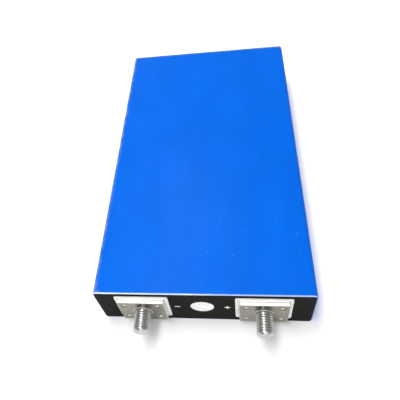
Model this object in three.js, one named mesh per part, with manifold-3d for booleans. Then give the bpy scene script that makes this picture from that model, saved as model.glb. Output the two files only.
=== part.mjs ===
// A wound lithium iron phosphate cell in a drawn aluminium can, wrapped in blue film.
// Millimetres, +Z up. The cell lies on its wide face. Its lid faces -Y and the negative terminal is at -X.
// The origin is the middle of the whole cell's footprint, on the surface that it lies on.
import * as THREE from "three";
import { mergeVertices } from "three/addons/utils/BufferGeometryUtils.js";
import Module from "manifold-3d";

const wasm = await Module();
wasm.setup();

// ---- Driving dimensions ----
const WIDTH = 130; // over the film
const THICKNESS = 36; // over the film
const LENGTH = 230; // lid face to base, over the film
const CORNER = 2.5; // radius of the can's long edges, over the film
const GAP = 0.1; // clearance between flat pieces that touch on the real cell
const FIT = 0.3; // clearance round a turned piece in its hole
const OVERCUT = 1; // how far a cutting solid runs past the face that it cuts

const FILM = 0.2; // wrap thickness
const FILM_SETBACK = 0.8; // bare can rim left in front of the wrap
const CAN_WALL = 0.8;
const CAN_FLOOR = 1.2;
const LID_THICK = 2;
const SHEET_THICK = 0.4; // black sheet on the lid
const SHEET_MARGIN = 0.4; // bare rim left round the black sheet
const PATCH_THICK = 0.2; // film patch on the base
const PATCH_MARGIN = 3;

const TERMINAL_X = 36; // each terminal's distance from the middle
const LID_RISE = 1.5; // the lid's fittings sit this far above its middle
const TRAY = { width: 32.6, height: 27, corner: 1.2, front: 1, floor: 0.5 };
const PLATE = { width: 28, height: 24, corner: 1, chamfer: 0.35, front: 4.2, thick: 2.3 };
const PAD_THICK = 1.1; // terminal pad between the tray and the stud plate
const POCKET_GAP = 0.5; // between the tray's rim and the pad
const DIMPLE = { x: 10.2, z: 7.7, radius: 1.5, depth: 0.45 }; // spot welds on the stud plate
const WELD_RING = { radius: 6.3, groove: 0.35 }; // groove round the stud's foot
const STUD = { radius: 4.9, reach: 13, chamfer: 0.9, headRadius: 6.8, headThick: 1 }; // M10
const POST = { radius: 4.3, flangeRadius: 7.5, flangeThick: 1 };
const SEAL = { outer: 6.9, neck: 5.4, shoulder: 0.3 };

const VENT = { radius: 7, filmThick: 0.2, discRadius: 6.2, discThick: 0.4, rim: 1.6, depth: 1.2 };
const SLOT = { width: 1.6, height: 9, pitch: 2.6, count: 5 }; // grille in the liner behind the vent
const FILL = { x: 14, radius: 1.5, capRadius: 2.5, capThick: 0.4 };

const LINER_THICK = 1.5;
const COLLECTOR = { width: 32, height: 24, thick: 1.5 };
const TAB = { width: 28, thick: 1.2, clearance: 0.2 };
const CORE = { width: 126, thick: 16.1, round: 7, front: 14, length: 212 };
const TAPE = { width: 24, thick: 0.1, inset: 30 };
const BAG = { thick: 0.2, collar: 4 }; // the collar stands up past the cores
const BASE_PAD = { thick: 1, margin: 1, hole: 3, pitch: 20, holes: 5 };

// ---- Dimensions worked out from those above ----
const CAN_WIDTH = WIDTH - 2 * (FILM + GAP);
const CAN_HEIGHT = THICKNESS - 2 * (FILM + GAP);
const CAN_CORNER = CORNER - FILM;
const CAN_BACK = LENGTH - FILM - PATCH_THICK - 2 * GAP;
const BORE_WIDTH = CAN_WIDTH - 2 * CAN_WALL;
const BORE_HEIGHT = CAN_HEIGHT - 2 * CAN_WALL;
const BORE_CORNER = CAN_CORNER - CAN_WALL;
const STUD_TIP = PLATE.front + STUD.reach;
const LINER_FRONT = LID_THICK + GAP;
const FLANGE_FRONT = LINER_FRONT + LINER_THICK + GAP;
const COLLECTOR_FRONT = FLANGE_FRONT + POST.flangeThick + GAP;
const TAB_FRONT = COLLECTOR_FRONT + COLLECTOR.thick + GAP;
const CORE_BACK = CORE.front + CORE.length;
const CAP_RECESS = FILL.capThick + GAP;
const LID_Y = (STUD_TIP - LENGTH) / 2; // puts the origin midway between stud tips and base

// ---- Materials ----
const metal = (color, roughness) => new THREE.MeshStandardMaterial({ color, roughness, metalness: 1 });
const plastic = (color, roughness) => new THREE.MeshStandardMaterial({ color, roughness, metalness: 0 });
const BLUE_FILM = plastic(0x146ef0, 0.35);
const BLACK_SHEET = plastic(0x262622, 0.55);
const TRAY_PLASTIC = plastic(0xd8d8d2, 0.5);
const LINER_PLASTIC = plastic(0x2f3134, 0.6);
const BAG_FILM = plastic(0xdfe6ea, 0.4);
const VENT_FILM = plastic(0xf0f0ec, 0.3);
const TAPE_GREEN = plastic(0x2c8a4a, 0.5);
const SEAL_RUBBER = plastic(0x1b1b1b, 0.9);
const SEPARATOR = plastic(0xe6e6e0, 0.7);
const ALUMINIUM = metal(0xc9cbcc, 0.45);
const STUD_STEEL = metal(0xc2c4c2, 0.3);
const COPPER = metal(0xb87046, 0.4);

// ---- Shapes ----
// A rounded rectangle in X and Z about the middle, as a THREE.Shape or, for a hole, a THREE.Path.
function roundedRect(width, height, radius, Kind = THREE.Shape) {
  const x = width / 2;
  const y = height / 2;
  const outline = new Kind();
  outline.moveTo(-x + radius, -y);
  outline.lineTo(x - radius, -y);
  outline.absarc(x - radius, -y + radius, radius, -Math.PI / 2, 0, false);
  outline.lineTo(x, y - radius);
  outline.absarc(x - radius, y - radius, radius, 0, Math.PI / 2, false);
  outline.lineTo(-x + radius, y);
  outline.absarc(-x + radius, y - radius, radius, Math.PI / 2, Math.PI, false);
  outline.lineTo(-x, -y + radius);
  outline.absarc(-x + radius, -y + radius, radius, Math.PI, 1.5 * Math.PI, false);
  return outline;
}

function circleHole(x, z, radius) {
  const hole = new THREE.Path();
  hole.absarc(x, z, radius, 0, 2 * Math.PI, true);
  return hole;
}

// A plate with that outline, standing across Y, from front to front + thick.
function acrossY(shape, front, thick, curveSegments = 4) {
  const geometry = new THREE.ExtrudeGeometry(shape, { depth: thick, bevelEnabled: false, curveSegments });
  geometry.rotateX(Math.PI / 2);
  return geometry.translate(0, front + thick, 0);
}

// A turned piece about Y. Its profile is a list of [radius, y] points that starts and ends on the axis,
// or a loop that closes on itself.
function turned(profile, segments = 32) {
  const points = profile.map(([radius, y]) => new THREE.Vector2(radius, y));
  return new THREE.LatheGeometry(points, segments);
}

// A round solid about Y, from front to front + thick.
function disc(radius, front, thick, segments = 32) {
  const back = front + thick;
  return turned([[0, front], [radius, front], [radius, back], [0, back]], segments);
}

// ---- Solids ----
function solidOf(geometry) {
  const bare = geometry.clone();
  bare.deleteAttribute("normal");
  bare.deleteAttribute("uv");
  const merged = mergeVertices(bare, 1e-4);
  const vertProperties = merged.attributes.position.array;
  const triVerts = new Uint32Array(merged.index.array);
  return new wasm.Manifold(new wasm.Mesh({ numProp: 3, vertProperties, triVerts }));
}

function geometryOf(solid) {
  const { vertProperties, triVerts } = solid.getMesh();
  const geometry = new THREE.BufferGeometry();
  geometry.setAttribute("position", new THREE.BufferAttribute(vertProperties, 3));
  geometry.setIndex(new THREE.BufferAttribute(triVerts, 1));
  geometry.computeVertexNormals();
  return geometry;
}

function cut(geometry, ...tools) {
  return geometryOf(tools.reduce((left, tool) => left.subtract(solidOf(tool)), solidOf(geometry)));
}

// An open-fronted box: outer walls less the space inside, with a floor at the back.
function cup({ width, height, corner, front, back, wall, floor }) {
  const outer = acrossY(roundedRect(width, height, corner), front, back - front);
  const hollow = roundedRect(width - 2 * wall, height - 2 * wall, corner - wall);
  const space = acrossY(hollow, front - OVERCUT, back - floor - front + OVERCUT);
  return cut(outer, space);
}

// ---- Pieces: case ----
function filmWrap() {
  const back = LENGTH - PATCH_THICK - GAP;
  return cup({
    width: WIDTH, height: THICKNESS, corner: CORNER, front: FILM_SETBACK, back, wall: FILM, floor: FILM,
  });
}

function filmPatch() {
  const outline = roundedRect(WIDTH - 2 * PATCH_MARGIN, THICKNESS - 2 * PATCH_MARGIN, CORNER);
  return acrossY(outline, LENGTH - PATCH_THICK, PATCH_THICK);
}

function can() {
  return cup({
    width: CAN_WIDTH, height: CAN_HEIGHT, corner: CAN_CORNER, front: 0, back: CAN_BACK,
    wall: CAN_WALL, floor: CAN_FLOOR,
  });
}

function lid() {
  const outline = roundedRect(BORE_WIDTH - 2 * GAP, BORE_HEIGHT - 2 * GAP, BORE_CORNER);
  for (const x of [-TERMINAL_X, TERMINAL_X]) outline.holes.push(circleHole(x, LID_RISE, SEAL.outer + FIT));
  outline.holes.push(circleHole(0, LID_RISE, VENT.discRadius + FIT));
  outline.holes.push(circleHole(FILL.x, LID_RISE, FILL.radius));
  const capRecess = disc(FILL.capRadius + FIT, -OVERCUT, OVERCUT + CAP_RECESS).translate(FILL.x, 0, LID_RISE);
  return cut(acrossY(outline, 0, LID_THICK, 8), capRecess);
}

function blackSheet() {
  const width = CAN_WIDTH - 2 * SHEET_MARGIN;
  const height = CAN_HEIGHT - 2 * SHEET_MARGIN;
  const outline = roundedRect(width, height, CAN_CORNER - SHEET_MARGIN);
  for (const x of [-TERMINAL_X, TERMINAL_X]) {
    const hole = roundedRect(TRAY.width + 4 * GAP, TRAY.height + 4 * GAP, TRAY.corner, THREE.Path);
    const points = hole.getPoints(6).map((p) => p.add(new THREE.Vector2(x, LID_RISE)));
    outline.holes.push(new THREE.Path(points));
  }
  outline.holes.push(circleHole(0, LID_RISE, VENT.radius + FIT));
  return acrossY(outline, -SHEET_THICK - GAP, SHEET_THICK, 8);
}

// A thin disc with a thicker rim, set back in the lid's middle hole.
function ventDisc() {
  const { discRadius, discThick, rim, depth } = VENT;
  const back = depth + discThick;
  return turned([[0, depth], [discRadius - rim, depth], [discRadius - rim / 2, depth - discThick],
    [discRadius, depth - discThick], [discRadius, back], [0, back]]);
}

function ventFilm() {
  return disc(VENT.radius, -VENT.filmThick - GAP, VENT.filmThick);
}

function fillBung() {
  const front = CAP_RECESS + GAP;
  return disc(FILL.radius - FIT, front, LID_THICK - GAP - front, 20);
}

function fillCap() {
  return disc(FILL.capRadius, 0, FILL.capThick, 24);
}

// ---- Pieces: one terminal, about its own middle ----
function tray() {
  const { width, height, corner, front, floor } = TRAY;
  const outer = acrossY(roundedRect(width, height, corner), -front, front - GAP);
  const pocketOutline = roundedRect(PLATE.width + 2 * POCKET_GAP, PLATE.height + 2 * POCKET_GAP, PLATE.corner);
  const pocket = acrossY(pocketOutline, -front - OVERCUT, OVERCUT + front - GAP - floor);
  const hole = disc(SEAL.neck + FIT, -front, 2 * front);
  return cut(outer, pocket, hole);
}

function pad() {
  const outline = roundedRect(PLATE.width, PLATE.height, PLATE.corner);
  outline.holes.push(circleHole(0, 0, POST.radius + FIT));
  return acrossY(outline, -PLATE.front + PLATE.thick + GAP, PAD_THICK, 10);
}

function studPlate() {
  const { width, height, corner, chamfer, front, thick } = PLATE;
  const back = thick - front;
  const outline = roundedRect(width - 2 * chamfer, height - 2 * chamfer, corner - chamfer);
  const block = new THREE.ExtrudeGeometry(outline, {
    depth: thick - 2 * chamfer, bevelThickness: chamfer, bevelSize: chamfer, bevelSegments: 1, curveSegments: 5,
  });
  block.rotateX(Math.PI / 2).translate(0, back - chamfer, 0);
  const shankHole = disc(STUD.radius + GAP, -front - OVERCUT, thick + 2 * OVERCUT);
  const seatDepth = STUD.headThick + 2 * GAP;
  const headSeat = disc(STUD.headRadius + GAP, back - seatDepth, seatDepth + OVERCUT);
  return cut(block, shankHole, headSeat, weldGroove(), ...dimplePunches());
}

function weldGroove() {
  const { radius, groove } = WELD_RING;
  const floor = groove - PLATE.front;
  return turned([[radius - groove, -PLATE.front - OVERCUT], [radius + groove, -PLATE.front - OVERCUT],
    [radius + groove, floor], [radius - groove, floor], [radius - groove, -PLATE.front - OVERCUT]]);
}

function dimplePunches() {
  const { radius, depth } = DIMPLE;
  const face = -PLATE.front;
  const punches = [];
  for (const x of [-DIMPLE.x, DIMPLE.x]) {
    for (const z of [-DIMPLE.z, DIMPLE.z]) {
      const punch = turned([[0, face - OVERCUT], [radius, face - OVERCUT], [radius, face],
        [radius / 2, face + depth], [0, face + depth]], 14);
      punches.push(punch.translate(x, 0, z));
    }
  }
  return punches;
}

function stud() {
  const back = PLATE.thick - PLATE.front - GAP;
  const head = back - STUD.headThick;
  const { radius, chamfer, headRadius } = STUD;
  return turned([[0, -STUD_TIP], [radius - chamfer, -STUD_TIP], [radius, chamfer - STUD_TIP], [radius, head],
    [headRadius, head], [headRadius, back], [0, back]]);
}

function post() {
  const outside = -PLATE.front + PLATE.thick + 2 * GAP;
  const { radius, flangeRadius, flangeThick } = POST;
  return turned([[0, outside], [radius, outside], [radius, FLANGE_FRONT], [flangeRadius, FLANGE_FRONT],
    [flangeRadius, FLANGE_FRONT + flangeThick], [0, FLANGE_FRONT + flangeThick]]);
}

function sealRing() {
  const inner = POST.radius + GAP;
  const front = -TRAY.floor;
  const back = LID_THICK - GAP;
  const { outer, neck, shoulder } = SEAL;
  return turned([[inner, front], [neck, front], [neck, shoulder], [outer, shoulder],
    [outer, back], [inner, back], [inner, front]]);
}

function collector() {
  return acrossY(roundedRect(COLLECTOR.width, COLLECTOR.height, 2), COLLECTOR_FRONT, COLLECTOR.thick);
}

// A stack of foil tabs that rises from a core and turns under the collector, towards the middle.
function tabStack(side) {
  const middle = coreMiddle(side);
  const near = side * (TAB.thick + TAB.clearance);
  const outside = middle + (side * TAB.thick) / 2;
  const inside = middle - (side * TAB.thick) / 2;
  const back = CORE.front - GAP;
  const outline = new THREE.Shape();
  outline.moveTo(near, TAB_FRONT);
  outline.lineTo(outside - side * TAB.thick, TAB_FRONT);
  outline.quadraticCurveTo(outside, TAB_FRONT, outside, TAB_FRONT + TAB.thick);
  outline.lineTo(outside, back);
  outline.lineTo(inside, back);
  outline.lineTo(inside, TAB_FRONT + TAB.thick);
  outline.lineTo(near, TAB_FRONT + TAB.thick);
  const geometry = new THREE.ExtrudeGeometry(outline, {
    depth: TAB.width, bevelEnabled: false, curveSegments: 5,
  });
  // The outline's X becomes Z and its depth becomes X.
  geometry.translate(0, 0, -TAB.width / 2);
  return geometry.rotateY(-Math.PI / 2);
}

// ---- Pieces: inside the can ----
function coreMiddle(side) {
  return (side * (CORE.thick + 2 * GAP)) / 2;
}

function core() {
  return acrossY(roundedRect(CORE.width, CORE.thick, CORE.round), CORE.front, CORE.length, 6);
}

function tapeBand(front) {
  const height = 2 * (CORE.thick + 2 * GAP);
  const width = CORE.width + 2 * GAP;
  const outline = roundedRect(width + 2 * TAPE.thick, height + 2 * TAPE.thick, CORE.round + TAPE.thick);
  outline.holes.push(roundedRect(width, height, CORE.round, THREE.Path));
  return acrossY(outline, front, TAPE.width, 8);
}

function liner() {
  const outline = roundedRect(BORE_WIDTH - 6 * GAP, BORE_HEIGHT - 6 * GAP, BORE_CORNER - GAP);
  for (const x of [-TERMINAL_X, TERMINAL_X]) outline.holes.push(circleHole(x, LID_RISE, POST.radius + FIT));
  outline.holes.push(circleHole(FILL.x, LID_RISE, FILL.radius));
  const slots = [];
  for (let i = 0; i < SLOT.count; i += 1) {
    const slot = new THREE.BoxGeometry(SLOT.width, 3 * LINER_THICK, SLOT.height);
    const x = (i - (SLOT.count - 1) / 2) * SLOT.pitch;
    slots.push(slot.translate(x, LINER_FRONT + LINER_THICK / 2, LID_RISE));
  }
  return cut(acrossY(outline, LINER_FRONT, LINER_THICK, 8), ...slots);
}

function coreBag() {
  const back = CAN_BACK - CAN_FLOOR - GAP;
  return cup({
    width: BORE_WIDTH - 2 * GAP, height: BORE_HEIGHT - 2 * GAP, corner: BORE_CORNER,
    front: CORE.front - BAG.collar, back, wall: BAG.thick, floor: BAG.thick,
  });
}

function basePad() {
  const { thick, margin, hole, pitch, holes } = BASE_PAD;
  const outline = roundedRect(CORE.width - 2 * margin, 2 * CORE.thick - 2 * margin, margin);
  for (let i = 0; i < holes; i += 1) {
    outline.holes.push(circleHole((i - (holes - 1) / 2) * pitch, 0, hole));
  }
  return acrossY(outline, CORE_BACK + GAP, thick, 8);
}

// ---- Assembly ----
function node(name, geometry, material) {
  const mesh = new THREE.Mesh(geometry, material);
  mesh.name = name;
  return mesh;
}

// Everything in here is measured from the middle of the lid's outer face.
const cell = new THREE.Group();
cell.position.set(0, LID_Y, THICKNESS / 2);

cell.add(node("blue_film_wrap", filmWrap(), BLUE_FILM));
cell.add(node("base_film_patch", filmPatch(), BLUE_FILM));
cell.add(node("can", can(), ALUMINIUM));
cell.add(node("lid", lid(), ALUMINIUM));
cell.add(node("black_lid_sheet", blackSheet(), BLACK_SHEET));
const vent = new THREE.Group();
vent.position.z = LID_RISE;
vent.add(node("vent_burst_disc", ventDisc(), ALUMINIUM));
vent.add(node("vent_cover_film", ventFilm(), VENT_FILM));
cell.add(vent);
const fillPort = new THREE.Group();
fillPort.position.set(FILL.x, 0, LID_RISE);
fillPort.add(node("fill_port_bung", fillBung(), SEAL_RUBBER));
fillPort.add(node("fill_port_cap", fillCap(), ALUMINIUM));
cell.add(fillPort);

cell.add(node("lid_inner_liner", liner(), LINER_PLASTIC));
cell.add(node("core_bag", coreBag(), BAG_FILM));
cell.add(node("base_pad", basePad(), LINER_PLASTIC));
const bandFronts = { front: CORE.front + TAPE.inset, rear: CORE_BACK - TAPE.inset - TAPE.width };
for (const [place, front] of Object.entries(bandFronts)) {
  cell.add(node(`core_tape_${place}`, tapeBand(front), TAPE_GREEN));
}
const SIDES = { upper: 1, lower: -1 };
for (const [level, side] of Object.entries(SIDES)) {
  const wound = node(`wound_core_${level}`, core(), SEPARATOR);
  wound.position.z = coreMiddle(side);
  cell.add(wound);
}

const POLES = {
  negative: { x: -TERMINAL_X, metal: COPPER },
  positive: { x: TERMINAL_X, metal: ALUMINIUM },
};
for (const [pole, { x, metal: inside }] of Object.entries(POLES)) {
  const terminal = new THREE.Group();
  terminal.position.set(x, 0, LID_RISE);
  terminal.add(node(`${pole}_tray`, tray(), TRAY_PLASTIC));
  terminal.add(node(`${pole}_pad`, pad(), ALUMINIUM));
  terminal.add(node(`${pole}_stud_plate`, studPlate(), ALUMINIUM));
  terminal.add(node(`${pole}_stud`, stud(), STUD_STEEL));
  terminal.add(node(`${pole}_post`, post(), inside));
  terminal.add(node(`${pole}_seal_ring`, sealRing(), SEAL_RUBBER));
  terminal.add(node(`${pole}_collector`, collector(), inside));
  cell.add(terminal);
  for (const [level, side] of Object.entries(SIDES)) {
    const tabs = node(`${pole}_tabs_${level}`, tabStack(side), inside);
    tabs.position.x = x;
    cell.add(tabs);
  }
}

const group = new THREE.Group();
group.add(cell);

export default group;
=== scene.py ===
"""A flat prismatic battery cell in blue film: its visual model, laid out as a Blender add-on.

The cell lies on its wide face. X is its width, Y its length with the lid facing -Y, and Z its thickness.
"""
import math

import bmesh
import bpy
from bpy.props import FloatProperty, FloatVectorProperty, IntProperty, PointerProperty
from mathutils import Matrix, Vector


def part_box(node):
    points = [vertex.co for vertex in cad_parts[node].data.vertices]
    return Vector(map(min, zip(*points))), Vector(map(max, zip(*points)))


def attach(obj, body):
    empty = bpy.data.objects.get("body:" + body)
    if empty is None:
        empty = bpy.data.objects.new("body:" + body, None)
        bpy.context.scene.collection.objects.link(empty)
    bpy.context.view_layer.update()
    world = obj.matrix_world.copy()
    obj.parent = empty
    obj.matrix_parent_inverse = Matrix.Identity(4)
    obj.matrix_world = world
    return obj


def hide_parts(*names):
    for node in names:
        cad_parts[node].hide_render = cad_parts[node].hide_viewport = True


bl_info = {
    "name": "Blue film battery cell",
    "version": (1, 0, 0),
    "blender": (4, 5, 0),
    "location": "3D View > Sidebar > Cell",
    "description": "Builds the visible pieces and finishes of a prismatic battery cell on its packed frame",
    "category": "Object",
}

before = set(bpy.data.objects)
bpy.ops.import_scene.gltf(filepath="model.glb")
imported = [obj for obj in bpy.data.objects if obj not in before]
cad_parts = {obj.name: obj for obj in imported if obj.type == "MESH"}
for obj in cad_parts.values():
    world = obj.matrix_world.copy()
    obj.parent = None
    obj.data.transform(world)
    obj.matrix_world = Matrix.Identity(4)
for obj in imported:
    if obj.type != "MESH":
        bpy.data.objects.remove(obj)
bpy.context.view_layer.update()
MM = 0.001
NEAR = 1e-6  # places closer than this count as the same plane
SAME_POINT = 1e-7  # points closer than this are merged
POLES = ("negative", "positive")
LEVELS = ("upper", "lower")


def size_of(node):
    """The node's extent along X, Y and Z."""
    low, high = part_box(node)
    return high - low


def middle_of(node):
    low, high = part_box(node)
    return (low + high) / 2


# ---- Sizes and colours that a user may change ----
def length(name, description, default):
    return FloatProperty(name=name, description=description, default=default, min=0.0,
                         subtype="DISTANCE", unit="LENGTH")


def colour(name, description, default):
    return FloatVectorProperty(name=name, description=description, default=default, min=0.0, max=1.0,
                               size=3, subtype="COLOR")


class CellSizes(bpy.types.PropertyGroup):
    """Sizes of the visible pieces, in metres."""

    film_thickness: length("Film thickness", "Thickness of the blue wrap", 0.15 * MM)
    film_corner: length("Film corner", "Radius of the long edges over the film", 2.5 * MM)
    film_lip: length("Film lip", "How far the film turns in over the lid's rim", 0.6 * MM)
    front_radius: length("Front radius", "Radius of the film's front edge", 0.5 * MM)
    base_radius: length("Base radius", "Radius of the film's rear edge", 1.1 * MM)
    seam_width: length("Seam width", "Width of the overlap along one narrow side", 12 * MM)
    tray_corner: length("Tray corner", "Corner radius of the terminal trays", 1.6 * MM)
    tray_edge: length("Tray edge", "Rounding of the trays' rims", 0.18 * MM)
    plate_corner: length("Plate corner", "Corner radius of the stud plates", 0.9 * MM)
    plate_edge: length("Plate edge", "Rounding of the stud plates' front edges", 0.4 * MM)
    dimple_x: length("Dimple X", "Distance of each weld dimple from the stud's axis along X", 10.2 * MM)
    dimple_z: length("Dimple Z", "Distance of each weld dimple from the stud's axis along Z", 7.7 * MM)
    dimple_radius: length("Dimple radius", "Radius of each weld dimple", 1.7 * MM)
    dimple_depth: length("Dimple depth", "Depth of each weld dimple", 1.0 * MM)
    bead_radius: length("Bead radius", "Radius of the weld bead round a stud's foot", 5.6 * MM)
    bead_width: length("Bead width", "Radius of the bead's own section", 0.45 * MM)
    stud_radius: length("Stud radius", "Outer radius of the studs' thread", 4.9 * MM)
    thread_pitch: length("Thread pitch", "Pitch of the studs' thread", 1.5 * MM)
    thread_depth: length("Thread depth", "Depth of the studs' thread", 0.38 * MM)
    stud_chamfer: length("Stud chamfer", "Length of the chamfer on each stud's tip", 1.2 * MM)
    mark_x: length("Mark X", "Distance of the polarity marks from the vent's middle", 15 * MM)
    mark_length: length("Mark length", "Length of the strokes of the polarity marks", 3.4 * MM)
    mark_stroke: length("Mark stroke", "Width of the strokes of the polarity marks", 0.8 * MM)
    vent_dish: length("Vent dish", "How far the burst disc bulges outwards", 0.7 * MM)
    thread_steps: IntProperty(name="Thread steps", description="Facets round each stud", default=64,
                              min=16, max=128)


class CellColours(bpy.types.PropertyGroup):
    """Colours of the finishes, as linear values."""

    film: colour("Film", "Blue wrap", (0.001, 0.121, 0.66))
    sheet: colour("Sheet", "Black sheet on the lid", (0.005, 0.005, 0.0045))
    tray: colour("Tray", "Terminal tray plastic", (0.82, 0.81, 0.78))
    # The plates' dark rolled faces are painted shade and their near-white cut edges a painted highlight: one
    # aluminium as a shaded and a lit copy.
    plate: colour("Plate", "Rolled faces of the stud plates", (0.25, 0.24, 0.19))
    plate_edge: colour("Plate edge", "Cut edges of the stud plates", (1.0, 1.0, 0.99))
    stud: colour("Stud", "Studs", (0.5, 0.51, 0.5))
    mark: colour("Mark", "Polarity marks", (0.85, 0.85, 0.83))
    vent: colour("Vent", "Burst disc", (0.86, 0.86, 0.84))
    floor: colour("Floor", "Studio floor", (0.98, 0.98, 0.98))


# ---- Node helpers ----
def wire(tree, source, target):
    tree.links.new(source, target)


def node(tree, kind, **values):
    """A node of that kind, with its own settings set by name and its inputs by socket name."""
    made = tree.nodes.new(kind)
    for key, value in values.items():
        if key in made.inputs:
            made.inputs[key].default_value = value
        else:
            setattr(made, key, value)
    return made


def maths(tree, operation, first, second=None):
    """A Math node's output. Each operand is a socket or a number."""
    made = tree.nodes.new("ShaderNodeMath")
    made.operation = operation
    for socket, value in zip(made.inputs, (first, second)):
        if value is None:
            continue
        if isinstance(value, (int, float)):
            socket.default_value = value
        else:
            wire(tree, value, socket)
    return made.outputs[0]


def remap(tree, value, low, high, to_low=0.0, to_high=1.0):
    """value from the range low to high, taken to to_low to to_high and held at the ends."""
    made = tree.nodes.new("ShaderNodeMapRange")
    made.interpolation_type = "SMOOTHSTEP"
    limits = {"From Min": low, "From Max": high, "To Min": to_low, "To Max": to_high}
    for name, number in limits.items():
        if isinstance(number, (int, float)):
            made.inputs[name].default_value = number
        else:
            wire(tree, number, made.inputs[name])
    wire(tree, value, made.inputs["Value"])
    return made.outputs["Result"]


def mix_colour(tree, factor, first, second):
    """A colour Mix node's output. The factor is a socket or a number, and the colours sockets or triples."""
    made = tree.nodes.new("ShaderNodeMix")
    made.data_type = "RGBA"
    # Of the Mix node's inputs, 0 is the factor and 6 and 7 are the two colours.
    for place, value in ((0, factor), (6, first), (7, second)):
        socket = made.inputs[place]
        if isinstance(value, bpy.types.NodeSocket):
            wire(tree, value, socket)
        elif isinstance(value, (int, float)):
            socket.default_value = value
        else:
            socket.default_value = (*value, 1.0)
    return made.outputs[2]


def new_group(name, inputs, outputs):
    """A shader node group, from (name, type, default) inputs and (name, type) outputs."""
    tree = bpy.data.node_groups.new(name, "ShaderNodeTree")
    for label, kind, default in inputs:
        socket = tree.interface.new_socket(label, in_out="INPUT", socket_type=kind)
        socket.default_value = default
    for label, kind in outputs:
        tree.interface.new_socket(label, in_out="OUTPUT", socket_type=kind)
    return tree, tree.nodes.new("NodeGroupInput"), tree.nodes.new("NodeGroupOutput")


FLOAT = "NodeSocketFloat"
VECTOR = "NodeSocketVector"


# ---- Shared effects ----
def make_grain_group():
    """Fine noise for moulded, rolled and printed surfaces. Scale is in grains per metre along each axis."""
    tree, inside, out = new_group(
        "Surface grain",
        [("Scale", VECTOR, (1000.0, 1000.0, 1000.0)), ("Detail", FLOAT, 3.0), ("Contrast", FLOAT, 0.5)],
        [("Value", FLOAT)],
    )
    place = node(tree, "ShaderNodeTexCoord")
    scaled = node(tree, "ShaderNodeVectorMath", operation="MULTIPLY")
    wire(tree, place.outputs["Object"], scaled.inputs[0])
    wire(tree, inside.outputs["Scale"], scaled.inputs[1])
    noise = node(tree, "ShaderNodeTexNoise", Scale=1.0, Roughness=0.6)
    wire(tree, scaled.outputs[0], noise.inputs["Vector"])
    wire(tree, inside.outputs["Detail"], noise.inputs["Detail"])
    low = maths(tree, "MULTIPLY", inside.outputs["Contrast"], 0.5)
    high = maths(tree, "SUBTRACT", 1.0, low)
    wire(tree, remap(tree, noise.outputs["Fac"], low, high), out.inputs["Value"])
    return tree


def make_wear_group():
    """1 along the edges of a box about Centre, broken up by noise, and 0 elsewhere. Half is half its size."""
    tree, inside, out = new_group(
        "Edge wear",
        [("Centre", VECTOR, (0.0, 0.0, 0.0)), ("Half", VECTOR, (0.01, 0.01, 0.01)),
         ("Width", FLOAT, 0.4 * MM), ("Breakup", FLOAT, 0.6)],
        [("Mask", FLOAT)],
    )
    place = node(tree, "ShaderNodeTexCoord")
    offset = node(tree, "ShaderNodeVectorMath", operation="SUBTRACT")
    wire(tree, place.outputs["Object"], offset.inputs[0])
    wire(tree, inside.outputs["Centre"], offset.inputs[1])
    size = node(tree, "ShaderNodeVectorMath", operation="ABSOLUTE")
    wire(tree, offset.outputs[0], size.inputs[0])
    depth = node(tree, "ShaderNodeVectorMath", operation="SUBTRACT")
    wire(tree, inside.outputs["Half"], depth.inputs[0])
    wire(tree, size.outputs[0], depth.inputs[1])
    parts = node(tree, "ShaderNodeSeparateXYZ")
    wire(tree, depth.outputs[0], parts.inputs[0])
    x, y, z = parts.outputs
    # The second smallest distance to a face of the box is the distance to its nearest edge.
    smaller = maths(tree, "MINIMUM", x, y)
    larger = maths(tree, "MAXIMUM", x, y)
    edge = maths(tree, "MAXIMUM", smaller, maths(tree, "MINIMUM", larger, z))
    noise = node(tree, "ShaderNodeTexNoise", Scale=900.0, Detail=3.0)
    wire(tree, place.outputs["Object"], noise.inputs["Vector"])
    centred = maths(tree, "SUBTRACT", noise.outputs["Fac"], 0.5)
    lift = maths(tree, "MULTIPLY", centred, inside.outputs["Breakup"])
    stretch = maths(tree, "ADD", 1.0, maths(tree, "MULTIPLY", lift, 3.0))
    reach = maths(tree, "MULTIPLY", inside.outputs["Width"], stretch)
    wire(tree, remap(tree, maths(tree, "DIVIDE", edge, reach), 0.3, 1.0, 1.0, 0.0), out.inputs["Mask"])
    return tree


def make_dust_group():
    """Sparse specks and soft smears, for handled surfaces."""
    tree, inside, out = new_group(
        "Dust and smears",
        [("Speck scale", FLOAT, 400.0), ("Speck amount", FLOAT, 0.3), ("Smear scale", FLOAT, 14.0)],
        [("Specks", FLOAT), ("Smears", FLOAT)],
    )
    place = node(tree, "ShaderNodeTexCoord")
    specks = node(tree, "ShaderNodeTexVoronoi")
    wire(tree, place.outputs["Object"], specks.inputs["Vector"])
    wire(tree, inside.outputs["Speck scale"], specks.inputs["Scale"])
    chance = node(tree, "ShaderNodeSeparateColor")
    wire(tree, specks.outputs["Color"], chance.inputs[0])
    bare_share = maths(tree, "SUBTRACT", 1.0, inside.outputs["Speck amount"])
    few = maths(tree, "GREATER_THAN", chance.outputs[0], bare_share)
    dot = remap(tree, specks.outputs["Distance"], 0.05, 0.22, 1.0, 0.0)
    wire(tree, maths(tree, "MULTIPLY", few, dot), out.inputs["Specks"])
    smears = node(tree, "ShaderNodeTexNoise", Detail=4.0, Roughness=0.55, Distortion=0.8)
    wire(tree, place.outputs["Object"], smears.inputs["Vector"])
    wire(tree, inside.outputs["Smear scale"], smears.inputs["Scale"])
    wire(tree, remap(tree, smears.outputs["Fac"], 0.35, 0.7), out.inputs["Smears"])
    return tree


EFFECTS = {}


def effect(tree, name, **values):
    """One of the shared node groups in tree, with its inputs set by name (underscores stand for spaces)."""
    makers = {"grain": make_grain_group, "wear": make_wear_group, "dust": make_dust_group}
    if name not in EFFECTS:
        EFFECTS[name] = makers[name]()
    made = tree.nodes.new("ShaderNodeGroup")
    made.node_tree = EFFECTS[name]
    for key, value in values.items():
        made.inputs[key.replace("_", " ")].default_value = value
    return made


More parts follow.
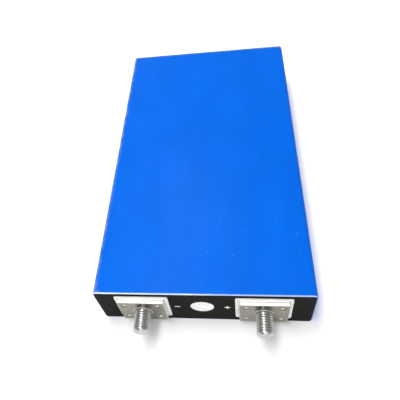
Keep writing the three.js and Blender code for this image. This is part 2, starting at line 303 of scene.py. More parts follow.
def wear_of(tree, piece_box, width, breakup):
    """The edge wear mask of a boxy piece between two corners."""
    low, high = piece_box
    made = effect(tree, "wear", Centre=(low + high) / 2, Half=(high - low) / 2, Width=width, Breakup=breakup)
    return made.outputs["Mask"]


def shaded(tint, share):
    """The tint made darker or lighter by that share, no lighter than white."""
    return tuple(min(1.0, share * part) for part in tint)


def new_material(name, **shader_values):
    """A material with a Principled BSDF whose uniform values are set on its own sockets."""
    material = bpy.data.materials.new(name)
    material.use_nodes = True
    tree = material.node_tree
    tree.nodes.clear()
    shader = node(tree, "ShaderNodeBsdfPrincipled")
    for key, value in shader_values.items():
        shader.inputs[key.replace("_", " ")].default_value = value
    output = node(tree, "ShaderNodeOutputMaterial")
    wire(tree, shader.outputs["BSDF"], output.inputs["Surface"])
    return material, tree, shader


def add_bump(tree, shader, height, distance, strength=1.0):
    bump = node(tree, "ShaderNodeBump", Strength=strength, Distance=distance)
    wire(tree, height, bump.inputs["Height"])
    wire(tree, bump.outputs["Normal"], shader.inputs["Normal"])


# ---- Materials of the visible pieces ----
# Grey laid along the film's long edges on -X and round its base.
EDGE_GREY = (0.27, 0.29, 0.29)
# White of the painted highlight on the film's front rim.
PAINTED_HIGHLIGHT_WHITE = (0.78, 0.88, 0.98)
FILM_SPECK = (0.2, 0.35, 0.7)
SHEET_SMEAR = (0.015, 0.015, 0.014)
SHEET_DUST = (0.09, 0.09, 0.085)
PLASTIC_SPECK = (0.3, 0.28, 0.25)
GREY_EDGE_WIDTH = 2.8 * MM
CUT_ROUGHNESS = 0.5
CUT_FROSTING = 0.85  # how far a saw-cut face scatters light like a matt one


def places_along(tree):
    """The place on the piece along X, Y and Z, as three sockets."""
    place = node(tree, "ShaderNodeTexCoord")
    parts = node(tree, "ShaderNodeSeparateXYZ")
    wire(tree, place.outputs["Object"], parts.inputs[0])
    return parts.outputs


def grey_edge_mask(tree, piece_box, uneven):
    """Where the film is made grey: along the long edges on -X and the edges round the base."""
    low, high = piece_box
    x, y, _ = places_along(tree)
    side = remap(tree, x, low.x + GREY_EDGE_WIDTH, low.x + 2 * GREY_EDGE_WIDTH, 1.0, 0.0)
    rear = remap(tree, y, high.y - 2 * GREY_EDGE_WIDTH, high.y - GREY_EDGE_WIDTH)
    near_edge = wear_of(tree, piece_box, GREY_EDGE_WIDTH, 0.9)
    strength = maths(tree, "MULTIPLY", near_edge, remap(tree, uneven, 0.0, 1.0, 0.1, 0.9))
    return maths(tree, "MULTIPLY", maths(tree, "MAXIMUM", side, rear), strength)


def rim_highlight_mask(tree, piece_box, uneven):
    """A painted highlight: white round the front rim of the upper face, mostly on -X."""
    low, high = piece_box
    x, y, z = places_along(tree)
    lip = remap(tree, y, low.y + 0.25 * MM, low.y + 0.9 * MM, 1.0, 0.0)
    upper = remap(tree, z, high.z - 1.4 * MM, high.z - 0.7 * MM)
    across = remap(tree, x, -15 * MM, 12 * MM, 1.0, 0.45)
    strength = maths(tree, "MULTIPLY", across, remap(tree, uneven, 0.0, 1.0, 0.7, 1.0))
    return maths(tree, "MULTIPLY", maths(tree, "MULTIPLY", lip, upper), strength)


def film_material(name, tint, piece_box):
    """Smooth blue polyester film: faint mottling and long ripples, rubbed pale at its edges, grey along the
    -X and rear edges, and a painted highlight along the front rim.
    """
    material, tree, shader = new_material(name, IOR=1.5, Specular_IOR_Level=0.03)
    mottle = effect(tree, "grain", Scale=(38.0, 22.0, 38.0), Detail=4.0, Contrast=0.35)
    dust = effect(tree, "dust", Speck_scale=260.0, Speck_amount=0.035, Smear_scale=11.0)
    uneven = effect(tree, "grain", Scale=(110.0, 110.0, 110.0), Detail=4.0, Contrast=0.5).outputs["Value"]
    body = mix_colour(tree, mottle.outputs["Value"], shaded(tint, 0.86), tint)
    rubbed = maths(tree, "MULTIPLY", wear_of(tree, piece_box, 0.9 * MM, 0.5), 0.5)
    pale = tuple(0.5 * part + 0.35 for part in tint)
    surface = mix_colour(tree, rubbed, body, pale)
    # Grey along the long edges on -X and round the base.
    surface = mix_colour(tree, grey_edge_mask(tree, piece_box, uneven), surface, EDGE_GREY)
    # Painted highlight along the front rim of the upper face.
    surface = mix_colour(tree, rim_highlight_mask(tree, piece_box, uneven), surface, PAINTED_HIGHLIGHT_WHITE)
    specks = maths(tree, "MULTIPLY", dust.outputs["Specks"], 0.15)
    wire(tree, mix_colour(tree, specks, surface, FILM_SPECK), shader.inputs["Base Color"])
    wire(tree, remap(tree, dust.outputs["Smears"], 0.0, 1.0, 0.34, 0.46), shader.inputs["Roughness"])
    ripple = effect(tree, "grain", Scale=(30.0, 12.0, 30.0), Detail=1.0, Contrast=0.2)
    fine = effect(tree, "grain", Scale=(1500.0, 1500.0, 1500.0), Detail=2.0, Contrast=0.4)
    faint = maths(tree, "MULTIPLY", fine.outputs["Value"], 0.02)
    add_bump(tree, shader, maths(tree, "ADD", ripple.outputs["Value"], faint), 0.25 * MM, 0.5)
    return material


def sheet_material(tint):
    """Matt black insulating sheet: fine pressed texture, faint smears and grey dust."""
    material, tree, shader = new_material("Black sheet", IOR=1.48, Specular_IOR_Level=0.04)
    fine = effect(tree, "grain", Scale=(2200.0, 2200.0, 2200.0), Detail=2.0, Contrast=0.5)
    dust = effect(tree, "dust", Speck_scale=500.0, Speck_amount=0.12, Smear_scale=60.0)
    body = mix_colour(tree, fine.outputs["Value"], tint, shaded(tint, 1.6))
    smears = maths(tree, "MULTIPLY", dust.outputs["Smears"], 0.25)
    smeared = mix_colour(tree, smears, body, SHEET_SMEAR)
    specks = maths(tree, "MULTIPLY", dust.outputs["Specks"], 0.35)
    wire(tree, mix_colour(tree, specks, smeared, SHEET_DUST), shader.inputs["Base Color"])
    wire(tree, remap(tree, fine.outputs["Value"], 0.0, 1.0, 0.5, 0.68), shader.inputs["Roughness"])
    add_bump(tree, shader, fine.outputs["Value"], 0.03 * MM, 0.6)
    return material


def plastic_material(name, tint, roughness, grain_scale=1400.0, **shader_values):
    """Moulded or extruded plastic with a fine skin and faint flow clouds."""
    material, tree, shader = new_material(name, IOR=1.49, **shader_values)
    fine = effect(tree, "grain", Scale=(grain_scale,) * 3, Detail=2.0, Contrast=0.5)
    clouds = effect(tree, "dust", Speck_scale=700.0, Speck_amount=0.05, Smear_scale=120.0)
    body = mix_colour(tree, clouds.outputs["Smears"], tint, shaded(tint, 0.82))
    specks = maths(tree, "MULTIPLY", clouds.outputs["Specks"], 0.3)
    wire(tree, mix_colour(tree, specks, body, PLASTIC_SPECK), shader.inputs["Base Color"])
    wire(tree, remap(tree, fine.outputs["Value"], 0.0, 1.0, roughness - 0.06, roughness + 0.08),
         shader.inputs["Roughness"])
    add_bump(tree, shader, fine.outputs["Value"], 0.02 * MM, 0.5)
    return material


def metal_material(name, tint, roughness, grain_scale, worn_box=None, stain=0.2, cut_and_highlight_tint=None,
                   **shader_values):
    """Bare metal with a rolled or drawn grain and dull patches.

    A piece with a worn_box gets bright edges. One with a cut_and_highlight_tint gets it on the faces that
    were cut, which are those that don't face along Y; that near-white is partly the cut finish and partly a
    painted highlight for the lit tops.
    """
    material, tree, shader = new_material(name, Metallic=1.0, **shader_values)
    grain = effect(tree, "grain", Scale=grain_scale, Detail=3.0, Contrast=0.45)
    dust = effect(tree, "dust", Speck_scale=600.0, Speck_amount=0.06, Smear_scale=110.0)
    dull = shaded(tint, 0.72)
    body = mix_colour(tree, maths(tree, "MULTIPLY", dust.outputs["Smears"], stain * 2), tint, dull)
    grained = mix_colour(tree, maths(tree, "MULTIPLY", grain.outputs["Value"], 0.25), body, dull)
    rough = remap(tree, grain.outputs["Value"], 0.0, 1.0, roughness - 0.05, roughness + 0.08)
    # Painted highlight: the faces not along Y, the lit tops among them, get the near-white tint and a matt
    # finish.
    if cut_and_highlight_tint:
        facing = node(tree, "ShaderNodeSeparateXYZ")
        wire(tree, node(tree, "ShaderNodeNewGeometry").outputs["Normal"], facing.inputs[0])
        cut = remap(tree, maths(tree, "ABSOLUTE", facing.outputs["Y"]), 0.3, 0.8, 1.0, 0.0)
        grained = mix_colour(tree, cut, grained, cut_and_highlight_tint)
        rough = maths(tree, "ADD", rough, maths(tree, "MULTIPLY", cut, CUT_ROUGHNESS - roughness))
        frosted = maths(tree, "MULTIPLY", cut, CUT_FROSTING)
        wire(tree, maths(tree, "SUBTRACT", 1.0, frosted), shader.inputs["Metallic"])
    if worn_box:
        wear = wear_of(tree, worn_box, 0.5 * MM, 0.7)
        grained = mix_colour(tree, wear, grained, shaded(tint, 1.35))
        rough = maths(tree, "SUBTRACT", rough, maths(tree, "MULTIPLY", wear, 0.08))
    wire(tree, grained, shader.inputs["Base Color"])
    wire(tree, rough, shader.inputs["Roughness"])
    add_bump(tree, shader, grain.outputs["Value"], 0.02 * MM, 0.5)
    return material


def foil_material(name, tint, across):
    """A stack of foils, with its layers showing as fine lines. across is the axis across the layers."""
    material, tree, shader = new_material(name, Metallic=1.0)
    place = node(tree, "ShaderNodeTexCoord")
    layers = node(tree, "ShaderNodeTexWave", Scale=1600.0, Distortion=1.5, Detail=2.0,
                  bands_direction=across)
    wire(tree, place.outputs["Object"], layers.inputs["Vector"])
    wire(tree, mix_colour(tree, layers.outputs["Fac"], shaded(tint, 0.6), tint), shader.inputs["Base Color"])
    wire(tree, remap(tree, layers.outputs["Fac"], 0.0, 1.0, 0.32, 0.5), shader.inputs["Roughness"])
    add_bump(tree, shader, layers.outputs["Fac"], 0.05 * MM)
    return material


# ---- Mesh helpers ----
def new_box(low, high):
    """A bmesh holding one box between two corners."""
    mesh = bmesh.new()
    bmesh.ops.create_cube(mesh, size=1.0)
    place = Matrix.Translation((low + high) / 2) @ Matrix.Diagonal((*(high - low), 1.0))
    bmesh.ops.transform(mesh, matrix=place, verts=mesh.verts)
    return mesh


def round_edges(mesh, edges, radius, segments):
    bmesh.ops.bevel(mesh, geom=list(edges), offset=radius, offset_type="OFFSET", segments=segments,
                    profile=0.5, affect="EDGES", clamp_overlap=True, material=-1)


def edges_along(mesh, axis):
    """The edges that run along that axis (0, 1 or 2)."""
    found = []
    for edge in mesh.edges:
        way = (edge.verts[1].co - edge.verts[0].co).normalized()
        if abs(way[axis]) > 0.999:
            found.append(edge)
    return found


def edges_at(mesh, axis, place):
    """The edges whose two ends lie at that place on the axis."""
    return [edge for edge in mesh.edges if all(abs(v.co[axis] - place) < NEAR for v in edge.verts)]


def faces_at(mesh, axis, place):
    """The faces whose corners all lie at that place on the axis."""
    return [face for face in mesh.faces if all(abs(v.co[axis] - place) < NEAR for v in face.verts)]


def finish_piece(name, mesh, material, slot, *nodes, sharp=35.0):
    """Turns a bmesh into a piece of the cell that stands for those CAD nodes."""
    bmesh.ops.remove_doubles(mesh, verts=mesh.verts, dist=SAME_POINT)
    bmesh.ops.recalc_face_normals(mesh, faces=mesh.faces)
    for face in mesh.faces:
        face.smooth = True
    data = bpy.data.meshes.new(name)
    mesh.to_mesh(data)
    mesh.free()
    data.set_sharp_from_angle(angle=math.radians(sharp))
    data.materials.append(material)
    piece = bpy.data.objects.new(name, data)
    bpy.context.collection.objects.link(piece)
    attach(piece, "root")
    if nodes:
        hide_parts(*nodes)
    return piece


def dress(material, *nodes):
    """Gives CAD nodes that keep their own shape a better material."""
    for name in nodes:
        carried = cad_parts[name]
        carried.data.materials.clear()
        carried.data.materials.append(material)


def spun(profile, axis_point, steps):
    """A bmesh of a profile of (radius, y) points turned about the line along Y through axis_point."""
    mesh = bmesh.new()
    rim = []
    for radius, along in profile:
        rim.append(mesh.verts.new((axis_point.x + radius, along, axis_point.z)))
    edges = [mesh.edges.new(pair) for pair in zip(rim, rim[1:])]
    bmesh.ops.spin(mesh, geom=rim + edges, cent=(axis_point.x, 0.0, axis_point.z), axis=(0.0, 1.0, 0.0),
                   angle=2 * math.pi, steps=steps, use_merge=True, use_duplicate=False)
    bmesh.ops.remove_doubles(mesh, verts=mesh.verts, dist=SAME_POINT)
    return mesh


# ---- Pieces ----
def shell(low, high, corner, front_radius, base_radius, lip, thickness):
    """A rounded box with an open front whose wall turns in by lip, as a bmesh."""
    mesh = new_box(low, high)
    round_edges(mesh, edges_along(mesh, 1), corner, 8)
    round_edges(mesh, edges_at(mesh, 1, low.y), front_radius, 5)
    round_edges(mesh, edges_at(mesh, 1, high.y), base_radius, 5)
    front = faces_at(mesh, 1, low.y)
    bmesh.ops.inset_region(mesh, faces=front, thickness=lip - front_radius, use_even_offset=True)
    bmesh.ops.delete(mesh, geom=front, context="FACES")
    bmesh.ops.recalc_face_normals(mesh, faces=mesh.faces)
    bmesh.ops.solidify(mesh, geom=mesh.faces[:], thickness=thickness)
    return mesh


OVERLAP_SETBACK = 0.6 * MM  # from the end of the front edge's rounding to the overlap
OVERLAP_ROUNDING = 0.1 * MM
PATCH_CORNER = 2.5 * MM
PATCH_ROUNDING = 0.08 * MM


def build_wrap(sizes, colours):
    """The blue film, its overlap along one narrow side and the patch on the base."""
    low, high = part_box("blue_film_wrap")
    lid_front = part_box("can")[0].y
    low.y = lid_front - sizes.film_thickness
    wrap = shell(low, high, sizes.film_corner, sizes.front_radius, sizes.base_radius, sizes.film_lip,
                 sizes.film_thickness)
    material = film_material("Blue film", tuple(colours.film), (low, high))
    finish_piece("film_wrap", wrap, material, "blue_film", "blue_film_wrap", sharp=60.0)

    seam_low = Vector((high.x - sizes.film_thickness, low.y + sizes.front_radius + OVERLAP_SETBACK,
                       middle_of("blue_film_wrap").z - sizes.seam_width / 2))
    seam_high = Vector((high.x + sizes.film_thickness, high.y - sizes.base_radius,
                        seam_low.z + sizes.seam_width))
    seam = new_box(seam_low, seam_high)
    round_edges(seam, edges_along(seam, 1), OVERLAP_ROUNDING, 2)
    finish_piece("film_overlap", seam, material, "blue_film")

    patch_low, patch_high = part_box("base_film_patch")
    patch = new_box(patch_low, patch_high)
    round_edges(patch, edges_along(patch, 1), PATCH_CORNER, 6)
    round_edges(patch, edges_at(patch, 1, patch_high.y), PATCH_ROUNDING, 2)
    finish_piece("film_patch", patch, material, "blue_film", "base_film_patch")


CAN_WALL = 0.8 * MM
CAN_INSET = 0.3 * MM  # from the film's outer face to the can's
CAN_FRONT_RADIUS = 0.6 * MM
CAN_BASE_RADIUS = 0.9 * MM
CAN_LIP = CAN_WALL + 0.1 * MM


def build_case(sizes):
    """The drawn can with its rounded rim, and the lid's finishes."""
    low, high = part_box("can")
    corner = sizes.film_corner - CAN_INSET
    body = shell(low, high, corner, CAN_FRONT_RADIUS, CAN_BASE_RADIUS, CAN_LIP, CAN_WALL)
    drawn = metal_material("Drawn aluminium", (0.8, 0.8, 0.79), 0.38, (900.0, 90.0, 900.0), (low, high))
    finish_piece("can_body", body, drawn, "aluminium", "can", sharp=60.0)
    pressed = metal_material("Pressed aluminium", (0.78, 0.78, 0.77), 0.4, (800.0, 800.0, 800.0))
    dress(pressed, "lid", "fill_port_cap")
    dress(plastic_material("Fill port rubber", (0.02, 0.02, 0.02), 0.75), "fill_port_bung")


INK_HEIGHT = 0.06 * MM


def build_lid_sheet(sizes, colours):
    """The black sheet and the white polarity marks printed on it."""
    dress(sheet_material(tuple(colours.sheet)), "black_lid_sheet")
    ink = plastic_material("White ink", tuple(colours.mark), 0.5, 3000.0)
    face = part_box("black_lid_sheet")[0].y
    level = middle_of("vent_cover_film").z
    reach = sizes.mark_length / 2
    half = sizes.mark_stroke / 2
    for name, x, strokes in (("minus_mark", -sizes.mark_x, 1), ("plus_mark", sizes.mark_x, 2)):
        mesh = new_box(Vector((x - reach, face - INK_HEIGHT, level - half)),
                       Vector((x + reach, face + INK_HEIGHT, level + half)))
        if strokes == 2:
            # The two cuts are drawn in to the stroke's width, and the upright's arms grow from between them.
            bmesh.ops.subdivide_edges(mesh, edges=edges_along(mesh, 0), cuts=2)
            for vertex in mesh.verts:
                if abs(vertex.co.x - x) < reach / 2:
                    vertex.co.x = x + math.copysign(half, vertex.co.x - x)
            arms = [found for found in mesh.faces
                    if abs(found.normal.z) > 0.9 and abs(found.calc_center_median().x - x) < half]
            for arm in arms:
                grown = bmesh.ops.extrude_discrete_faces(mesh, faces=[arm])["faces"]
                way = 1.0 if grown[0].calc_center_median().z > level else -1.0
                bmesh.ops.translate(mesh, verts=grown[0].verts, vec=(0.0, 0.0, way * (reach - half)))
        finish_piece(name, mesh, ink, "tray_plastic")


VENT_GAP = 0.1 * MM  # from the film to the dome's top
VENT_RINGS = 16
DOME_SHARE = 0.86  # share of the disc's radius that is domed, inside the flat rim
RIM_LIFT = 0.3 * MM  # how far the flat rim stands in front of the dome's foot
SCORE_SHARE = 0.62  # where the score lies, as a share of the radius
SCORE_WIDTH = 0.035  # as a share of the radius
SCORE_DEPTH = 0.18 * MM


def build_vent(sizes, colours):
    """The domed burst disc with its score, under a milky film."""
    low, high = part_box("vent_burst_disc")
    centre = (low + high) / 2
    radius = (high.x - low.x) / 2
    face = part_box("vent_cover_film")[1].y + VENT_GAP
    dish = sizes.vent_dish
    profile = []
    for ring in range(VENT_RINGS + 1):
        share = ring / VENT_RINGS
        groove = SCORE_DEPTH * math.exp(-((share - SCORE_SHARE) / SCORE_WIDTH) ** 2)
        rim = RIM_LIFT if share > DOME_SHARE else 0.0
        dome = dish * math.cos(0.5 * math.pi * min(1.0, share / DOME_SHARE)) ** 2
        profile.append((radius * share, face + dish - dome + groove - rim))
    profile += [(radius, high.y), (0.0, high.y)]
    disc = spun(profile, centre, 48)
    bright = metal_material("Vent aluminium", tuple(colours.vent), 0.4, (500.0, 500.0, 500.0), stain=0.1)
    finish_piece("vent_disc", disc, bright, "aluminium", "vent_burst_disc", sharp=50.0)
    milky = plastic_material("Milky vent film", (1.0, 1.0, 0.98), 0.3, 900.0, Alpha=0.85)
    dress(milky, "vent_cover_film")


POCKET_GAP = 0.5 * MM  # between the tray's rim and the stud plate
TRAY_FLOOR = 0.5 * MM


def build_trays(sizes, colours):
    """The pale plastic tray round each terminal, with a rounded rim and an open pocket."""
    material = plastic_material("Tray plastic", tuple(colours.tray), 0.42, 1200.0,
                                Subsurface_Weight=0.35, Subsurface_Radius=(0.002, 0.002, 0.002),
                                Subsurface_Scale=1.0, Coat_Weight=0.2)
    for pole in POLES:
        low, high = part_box(f"{pole}_tray")
        plate = size_of(f"{pole}_stud_plate")
        mesh = new_box(low, high)
        round_edges(mesh, edges_along(mesh, 1), sizes.tray_corner, 6)
        front = faces_at(mesh, 1, low.y)[0]
        side = (high.x - low.x - plate.x) / 2 - POCKET_GAP
        top = (high.z - low.z - plate.z) / 2 - POCKET_GAP
        bmesh.ops.inset_region(mesh, faces=[front], thickness=top, use_even_offset=True)
        middle = middle_of(f"{pole}_tray")
        for vertex in front.verts:
            vertex.co.x += math.copysign(side - top, middle.x - vertex.co.x)
        pocket = bmesh.ops.extrude_discrete_faces(mesh, faces=[front])["faces"]
        bmesh.ops.translate(mesh, verts=pocket[0].verts, vec=(0.0, high.y - low.y - TRAY_FLOOR, 0.0))
        round_edges(mesh, edges_at(mesh, 1, low.y), sizes.tray_edge, 3)
        finish_piece(f"{pole}_tray_rim", mesh, material, "tray_plastic", f"{pole}_tray")


WELD_SHARE = 0.65  # share of a dimple's radius that is bright weld metal, painted bright as a glint too
RAISED_SHARE = 1.45  # outer radius of the raised ring round a dimple, as a share of the dimple's
RAISED_HEIGHT = 0.09 * MM
FACE_MARGIN = 0.8 * MM  # plain border round the finely divided part of a plate's face
FACE_CELLS = 96
BEAD_SINK = 0.05 * MM


def dimple_share(sizes, x, z):
    """The distance of (x, z) from the nearest dimple's middle, as a share of the dimple's radius."""
    return math.hypot(abs(x) - sizes.dimple_x, abs(z) - sizes.dimple_z) / sizes.dimple_radius


def plate_face_height(sizes, x, z):
    """How far the stud plate's front is pressed in at (x, z) from the stud's axis."""
    spot = dimple_share(sizes, x, z)
    if spot < 1.0:
        return sizes.dimple_depth * math.cos(0.5 * math.pi * spot)
    if spot < RAISED_SHARE:
        return -RAISED_HEIGHT * math.sin(math.pi * (spot - 1.0) / (RAISED_SHARE - 1.0))
    return 0.0


def build_stud_plates(sizes, colours):
    """The plates with their weld dimples, and the weld bead round each stud's foot."""
    for pole in POLES:
        low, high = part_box(f"{pole}_stud_plate")
        middle = middle_of(f"{pole}_stud_plate")
        mesh = new_box(low, high)
        round_edges(mesh, edges_along(mesh, 1), sizes.plate_corner, 5)
        round_edges(mesh, edges_at(mesh, 1, low.y), sizes.plate_edge, 4)
        front = faces_at(mesh, 1, low.y)
        bmesh.ops.delete(mesh, geom=front, context="FACES_ONLY")
        rim = [edge for edge in mesh.edges if edge.is_boundary]
        rim_verts = {vertex for edge in rim for vertex in edge.verts}
        half_x = max(abs(v.co.x - middle.x) for v in rim_verts) - FACE_MARGIN
        half_z = max(abs(v.co.z - middle.z) for v in rim_verts) - FACE_MARGIN
        grid = bmesh.ops.create_grid(mesh, x_segments=FACE_CELLS, y_segments=FACE_CELLS, size=1.0)["verts"]
        turn = Matrix.Rotation(math.radians(90), 4, "X")
        size = Matrix.Diagonal((half_x, 1.0, half_z, 1.0))
        place = Matrix.Translation((middle.x, low.y, middle.z))
        bmesh.ops.transform(mesh, matrix=place @ size @ turn, verts=grid)
        for vertex in grid:
            vertex.co.y += plate_face_height(sizes, vertex.co.x - middle.x, vertex.co.z - middle.z)
        grid_edges = {edge for vertex in grid for edge in vertex.link_edges if edge.is_boundary}
        bmesh.ops.triangle_fill(mesh, edges=rim + list(grid_edges), use_beauty=True)
        # Each dimple's middle gets the bright material: weld metal, and a painted glint as well.
        for face in mesh.faces:
            spot = face.calc_center_median() - middle
            if dimple_share(sizes, spot.x, spot.z) < WELD_SHARE and abs(face.normal.y) > 0.1:
                face.material_index = 1
        # The dark tint of the rolled faces is painted shade; the near-white of the cut faces is a painted
        # highlight.
        material = metal_material(f"Plate aluminium {pole}", tuple(colours.plate), 0.24,
                                  (260.0, 900.0, 2600.0), (low, high), 0.3, tuple(colours.plate_edge))
        # Bright weld spots, which also stand as painted glints.
        weld = metal_material(f"Weld spots and glints {pole}", (0.85, 0.85, 0.80), 0.3, (900.0, 900.0, 900.0),
                              stain=0.1)
        plate = finish_piece(f"{pole}_plate", mesh, material, "aluminium", f"{pole}_stud_plate")
        plate.data.materials.append(weld)

        bead = bmesh.new()
        ring = bmesh.ops.create_circle(bead, segments=10, radius=sizes.bead_width)["verts"]
        bmesh.ops.translate(bead, verts=ring, vec=(sizes.bead_radius, 0.0, 0.0))
        bmesh.ops.spin(bead, geom=bead.verts[:] + bead.edges[:], cent=(0.0, 0.0, 0.0), axis=(0.0, 1.0, 0.0),
                       angle=2 * math.pi, steps=64, use_merge=True, use_duplicate=False)
        bmesh.ops.translate(bead, verts=bead.verts, vec=(middle.x, low.y + BEAD_SINK, middle.z))
        finish_piece(f"{pole}_weld_bead", bead, material, "aluminium")
        # The pad's cut faces get a near-white painted highlight.
        dress(metal_material(f"Pad aluminium {pole}", (0.75, 0.75, 0.76), 0.45, (300.0, 900.0, 1500.0),
                             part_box(f"{pole}_pad"), cut_and_highlight_tint=(0.98, 0.99, 1.0)), f"{pole}_pad")


STUD_SINK = 0.3 * MM  # how far the stud's threaded part runs into its plate
ROWS_PER_PITCH = 8
CORE_SHARE = 0.9  # points nearer the axis than this share of the radius carry no thread


def build_studs(sizes, colours):
    """The threaded studs, each with a chamfered tip and a thread that runs out at the plate."""
    material = metal_material("Stud steel", tuple(colours.stud), 0.3, (700.0, 700.0, 700.0), stain=0.1)
    for pole in POLES:
        low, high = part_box(f"{pole}_stud")
        middle = middle_of(f"{pole}_stud")
        plate_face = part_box(f"{pole}_stud_plate")[0].y
        radius = sizes.stud_radius
        tip = low.y
        foot = plate_face + STUD_SINK
        rows = round((foot - tip) / sizes.thread_pitch * ROWS_PER_PITCH)
        profile = [(0.0, tip), (radius - sizes.stud_chamfer, tip)]
        profile += [(radius, tip + (foot - tip) * row / rows) for row in range(1, rows + 1)]
        profile += [(radius, high.y), (0.0, high.y)]
        mesh = spun(profile, middle, sizes.thread_steps)
        for vertex in mesh.verts:
            x = vertex.co.x - middle.x
            z = vertex.co.z - middle.z
            out = math.hypot(x, z)
            if out < radius * CORE_SHARE:
                continue
            along = vertex.co.y - tip
            turn = (along / sizes.thread_pitch + math.atan2(z, x) / (2 * math.pi)) % 1.0
            valley = sizes.thread_depth * abs(2.0 * turn - 1.0)
            run_out = min(1.0, max(0.0, (plate_face - vertex.co.y) / sizes.thread_pitch))
            reach = radius - valley * run_out
            chamfer = max(0.0, sizes.stud_chamfer - along)
            reach = min(reach, radius - chamfer)
            vertex.co.x = middle.x + x / out * reach
            vertex.co.z = middle.z + z / out * reach
        finish_piece(f"{pole}_threaded_stud", mesh, material, "stud_steel", f"{pole}_stud", sharp=40.0)


def dress_inner_pieces():
    """Finishes for the pieces inside the can."""
    liner = plastic_material("Liner plastic", (0.03, 0.032, 0.036), 0.5, 900.0)
    dress(liner, "lid_inner_liner", "base_pad")
    dress(plastic_material("Bag film", (0.74, 0.79, 0.83), 0.35, 500.0), "core_bag")
    tape = plastic_material("Green tape", (0.025, 0.24, 0.07), 0.4, 700.0)
    dress(tape, "core_tape_front", "core_tape_rear")
    wound = plastic_material("Wound separator", (0.8, 0.8, 0.77), 0.6, 1100.0, Sheen_Weight=0.2)
    dress(wound, *(f"wound_core_{level}" for level in LEVELS))
    rubber = plastic_material("Seal rubber", (0.015, 0.015, 0.015), 0.8, 1500.0)
    dress(rubber, *(f"{pole}_seal_ring" for pole in POLES))
    tints = {"negative": (0.83, 0.38, 0.2), "positive": (0.8, 0.8, 0.79)}
    for pole, tint in tints.items():
        solid = metal_material(f"Inner metal {pole}", tint, 0.35, (900.0, 300.0, 900.0))
        dress(solid, f"{pole}_post", f"{pole}_collector")
        foils = foil_material(f"Foil tabs {pole}", tint, "Z")
        dress(foils, *(f"{pole}_tabs_{level}" for level in LEVELS))


# ---- Stage ----
def area_light(name, place, target, size, power):
    """A rectangular light at place that shines at target."""
    data = bpy.data.lights.new(name, "AREA")
    data.shape = "RECTANGLE"
    data.size, data.size_y = size
    data.energy = power
    light = bpy.data.objects.new(name, data)
    bpy.context.collection.objects.link(light)
    way = Vector(target) - Vector(place)
    light.matrix_world = Matrix.Translation(place) @ way.to_track_quat("-Z", "Y").to_matrix().to_4x4()


def build_floor(tint):
    """The plain floor, a hair below the cell's underside."""
    floor = bmesh.new()
    bmesh.ops.create_grid(floor, x_segments=1, y_segments=1, size=4.0)
    data = bpy.data.meshes.new("studio_floor")
    floor.to_mesh(data)
    floor.free()
    surface = bpy.data.objects.new("studio_floor", data)
    surface.location.z = -0.02 * MM
    bpy.context.collection.objects.link(surface)
    material, _, shader = new_material("Studio floor", Roughness=0.9)
    shader.inputs["Base Color"].default_value = (*tint, 1.0)
    surface.data.materials.append(material)


def build_lights():
    """Even light from all round, a long light overhead and two softer ones."""
    world = bpy.data.worlds.new("Studio")
    bpy.context.scene.world = world
    world.use_nodes = True
    background = world.node_tree.nodes["Background"]
    background.inputs["Color"].default_value = (1.0, 1.0, 1.0, 1.0)
    background.inputs["Strength"].default_value = 0.4
    middle = (0.0, 0.0, 0.0)
    area_light("top_light", (-0.2, 0.0, 1.15), middle, (1.8, 0.3), 17.0)
    area_light("front_light", (0.1, -1.1, 0.5), middle, (0.8, 0.3), 2.5)
    area_light("rim_light", (-0.9, 0.9, 0.3), middle, (1.4, 0.2), 3.0)


def build_camera():
    """The camera, looking down on the lid from the front right."""
    data = bpy.data.cameras.new("camera")
    data.sensor_width = 36.0
    data.lens = 39.5
    data.shift_x = 0.1125
    data.shift_y = -0.0425
    data.clip_start = 0.01
    data.clip_end = 20.0
    camera = bpy.data.objects.new("camera", data)
    bpy.context.collection.objects.link(camera)
    azimuth, elevation, roll = (math.radians(angle) for angle in (16.40, 50.67, -14.60))
    aim = Vector((-37.92, -8.95, 17.0)) * MM
    distance = 332.5 * MM
    back = Vector((math.sin(azimuth) * math.cos(elevation), -math.cos(azimuth) * math.cos(elevation),
                   math.sin(elevation)))
    turn = (-back).to_track_quat("-Z", "Y").to_matrix() @ Matrix.Rotation(roll, 3, "Z")
    camera.matrix_world = Matrix.Translation(aim + back * distance) @ turn.to_4x4()
    bpy.context.scene.camera = camera
    bpy.context.scene.view_settings.view_transform = "Standard"


# ---- Operators ----
class CELL_OT_wrap(bpy.types.Operator):
    """Build the blue film, its overlap and its patch"""

    bl_idname = "cell.wrap"
    bl_label = "Film wrap"
    bl_options = {"REGISTER", "UNDO"}

    def execute(self, context):
        build_wrap(context.scene.cell_sizes, context.scene.cell_colours)
        return {"FINISHED"}


class CELL_OT_case(bpy.types.Operator):
    """Build the can and finish the lid"""

    bl_idname = "cell.case"
    bl_label = "Can and lid"
    bl_options = {"REGISTER", "UNDO"}

    def execute(self, context):
        build_case(context.scene.cell_sizes)
        return {"FINISHED"}


class CELL_OT_lid_sheet(bpy.types.Operator):
    """Finish the black sheet and print the polarity marks"""

    bl_idname = "cell.lid_sheet"
    bl_label = "Black sheet and marks"
    bl_options = {"REGISTER", "UNDO"}

    def execute(self, context):
        build_lid_sheet(context.scene.cell_sizes, context.scene.cell_colours)
        return {"FINISHED"}


class CELL_OT_vent(bpy.types.Operator):
    """Build the vent's burst disc and finish its film"""

    bl_idname = "cell.vent"
    bl_label = "Vent"
    bl_options = {"REGISTER", "UNDO"}

    def execute(self, context):
        build_vent(context.scene.cell_sizes, context.scene.cell_colours)
        return {"FINISHED"}


class CELL_OT_trays(bpy.types.Operator):
    """Build the plastic trays round the terminals"""

    bl_idname = "cell.trays"
    bl_label = "Terminal trays"
    bl_options = {"REGISTER", "UNDO"}

    def execute(self, context):
        build_trays(context.scene.cell_sizes, context.scene.cell_colours)
        return {"FINISHED"}


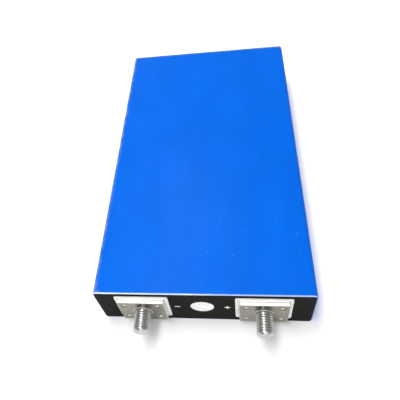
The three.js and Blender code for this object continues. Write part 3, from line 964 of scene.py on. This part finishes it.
class CELL_OT_stud_plates(bpy.types.Operator):
    """Build the stud plates and their weld beads"""

    bl_idname = "cell.stud_plates"
    bl_label = "Stud plates"
    bl_options = {"REGISTER", "UNDO"}

    def execute(self, context):
        build_stud_plates(context.scene.cell_sizes, context.scene.cell_colours)
        return {"FINISHED"}


class CELL_OT_studs(bpy.types.Operator):
    """Build the threaded studs"""

    bl_idname = "cell.studs"
    bl_label = "Studs"
    bl_options = {"REGISTER", "UNDO"}

    def execute(self, context):
        build_studs(context.scene.cell_sizes, context.scene.cell_colours)
        return {"FINISHED"}


class CELL_OT_inner_pieces(bpy.types.Operator):
    """Finish the pieces inside the can"""

    bl_idname = "cell.inner_pieces"
    bl_label = "Inner pieces"
    bl_options = {"REGISTER", "UNDO"}

    def execute(self, context):
        dress_inner_pieces()
        return {"FINISHED"}


class CELL_OT_stage(bpy.types.Operator):
    """Set up the floor, the lights and the camera"""

    bl_idname = "cell.stage"
    bl_label = "Stage"
    bl_options = {"REGISTER", "UNDO"}

    def execute(self, context):
        build_floor(context.scene.cell_colours.floor)
        build_lights()
        build_camera()
        return {"FINISHED"}


OPERATORS = (CELL_OT_wrap, CELL_OT_case, CELL_OT_lid_sheet, CELL_OT_vent, CELL_OT_trays,
             CELL_OT_stud_plates, CELL_OT_studs, CELL_OT_inner_pieces, CELL_OT_stage)


class CELL_PT_panel(bpy.types.Panel):
    """Lists the cell's building steps, sizes and colours"""

    bl_idname = "CELL_PT_panel"
    bl_label = "Battery cell"
    bl_space_type = "VIEW_3D"
    bl_region_type = "UI"
    bl_category = "Cell"

    def draw(self, context):
        for group in (context.scene.cell_sizes, context.scene.cell_colours):
            box = self.layout.box()
            for name in group.__annotations__:
                box.prop(group, name)
        for operator in OPERATORS:
            self.layout.operator(operator.bl_idname)


CLASSES = (CellSizes, CellColours, *OPERATORS, CELL_PT_panel)


def register():
    for cls in CLASSES:
        bpy.utils.register_class(cls)
    bpy.types.Scene.cell_sizes = PointerProperty(type=CellSizes)
    bpy.types.Scene.cell_colours = PointerProperty(type=CellColours)


def unregister():
    del bpy.types.Scene.cell_colours
    del bpy.types.Scene.cell_sizes
    for cls in reversed(CLASSES):
        bpy.utils.unregister_class(cls)


def main():
    register()
    bpy.ops.cell.wrap()
    bpy.ops.cell.case()
    bpy.ops.cell.lid_sheet()
    bpy.ops.cell.vent()
    bpy.ops.cell.trays()
    bpy.ops.cell.stud_plates()
    bpy.ops.cell.studs()
    bpy.ops.cell.inner_pieces()
    bpy.ops.cell.stage()


if __name__ == "__main__":
    main()
